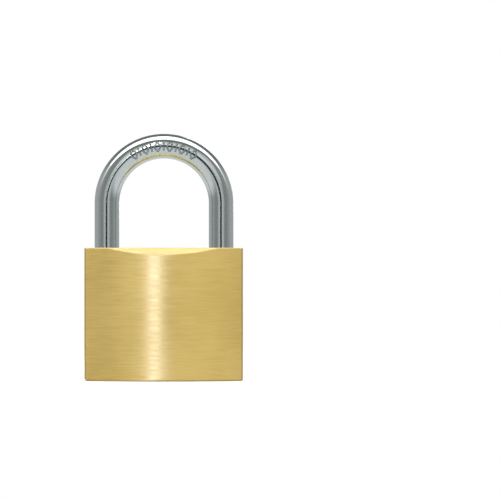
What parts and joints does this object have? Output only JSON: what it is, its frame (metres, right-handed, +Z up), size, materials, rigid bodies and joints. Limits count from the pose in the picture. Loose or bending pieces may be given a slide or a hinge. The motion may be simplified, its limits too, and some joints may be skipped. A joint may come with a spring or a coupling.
{
  "type": "padlock",
  "caption": "Padlock with a barrelled brass block, a round chromed shackle that lifts out of the toe side, and a key cylinder in the base that drives two side bolts.",
  "frame": {"origin": "middle of the flat bottom face of the body, under the middle of the key cylinder", "axes": "+Z up from the bottom face to the top of the shackle, +X from the fixed heel leg to the toe leg, -Y is the front"},
  "size_m": [0.05, 0.019, 0.0781],
  "materials": {
    "body_brass": "brushed across, level lines",
    "turned_brass": "turned",
    "shackle_chrome": "polished plating",
    "hard_steel": "ground",
    "spring_steel": "drawn wire"
  },
  "bodies": {
    "housing": {"body": "body_brass", "bolt_bore_plug": "turned_brass", "shackle_stop_pin": "turned_brass", "shackle_spring": "spring_steel", "bolt_spring": "spring_steel", "plug_retaining_pin": "turned_brass", "driver_pin_1": "hard_steel", "driver_pin_2": "hard_steel", "driver_pin_3": "hard_steel", "driver_pin_4": "hard_steel", "driver_pin_5": "hard_steel", "driver_spring_1": "spring_steel", "driver_spring_2": "spring_steel", "driver_spring_3": "spring_steel", "driver_spring_4": "spring_steel", "driver_spring_5": "spring_steel", "chamber_plug_1": "turned_brass", "chamber_plug_2": "turned_brass", "chamber_plug_3": "turned_brass", "chamber_plug_4": "turned_brass", "chamber_plug_5": "turned_brass"},
    "shackle": {"shackle": "shackle_chrome"},
    "cylinder": {"cylinder_plug": "turned_brass", "cam": "hard_steel", "key_pin_1": "turned_brass", "key_pin_2": "turned_brass", "key_pin_3": "turned_brass", "key_pin_4": "turned_brass", "key_pin_5": "turned_brass"},
    "toe_bolt": {"toe_bolt": "hard_steel"},
    "heel_bolt": {"heel_bolt": "hard_steel"}
  },
  "joints": [
    {"name": "shackle_lift", "type": "slide", "parent": "housing", "child": "shackle", "axis": [0, 0, 1], "range_m": [0, 0.0146], "deforming": ["shackle_spring"]},
    {"name": "key_turn", "type": "hinge", "parent": "housing", "child": "cylinder", "pos_m": [0, 0, 0], "axis": [0, 0, -1], "range_deg": [0, 90]},
    {"name": "toe_bolt_slide", "type": "slide", "parent": "housing", "child": "toe_bolt", "axis": [1, 0, 0], "range_m": [0, 0.0017]},
    {"name": "heel_bolt_slide", "type": "slide", "parent": "housing", "child": "heel_bolt", "axis": [-1, 0, 0], "range_m": [0, 0.0017]}
  ],
  "couplings": [
    {"joint": "toe_bolt_slide", "follows": "key_turn", "m_per_rad": 0.0010822},
    {"joint": "heel_bolt_slide", "follows": "key_turn", "m_per_rad": 0.0010822}
  ]
}
